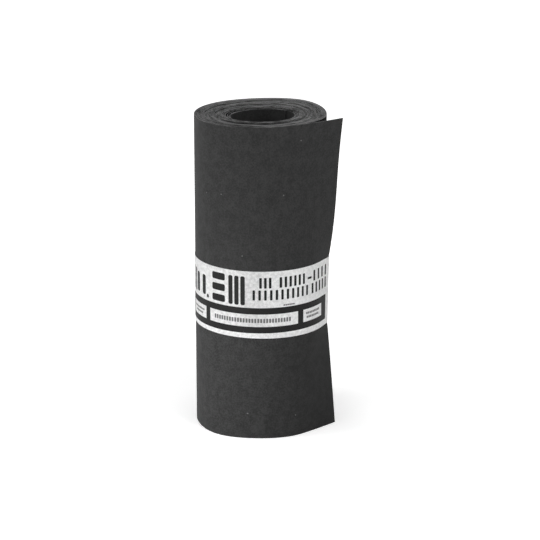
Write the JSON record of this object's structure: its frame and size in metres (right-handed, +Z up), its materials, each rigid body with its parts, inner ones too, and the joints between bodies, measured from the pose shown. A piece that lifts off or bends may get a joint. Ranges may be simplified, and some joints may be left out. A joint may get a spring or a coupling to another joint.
{
  "type": "roll of roofing felt",
  "caption": "Roll of dark asphalt roofing felt standing on end, wound round an open bore, its free end springing away above and below a printed paper band.",
  "frame": {"origin": "on the floor, at the middle of the box round the roll and its free end", "axes": "+Z up along the roll, -Y towards the printed front of the band, and the free end stands out towards +X"},
  "size_m": [0.211, 0.1932, 0.4572],
  "materials": {
    "felt": "matte",
    "band_paper": "matte"
  },
  "bodies": {
    "root": {"felt_roll": "felt", "paper_band": "band_paper"}
  },
  "joints": []
}
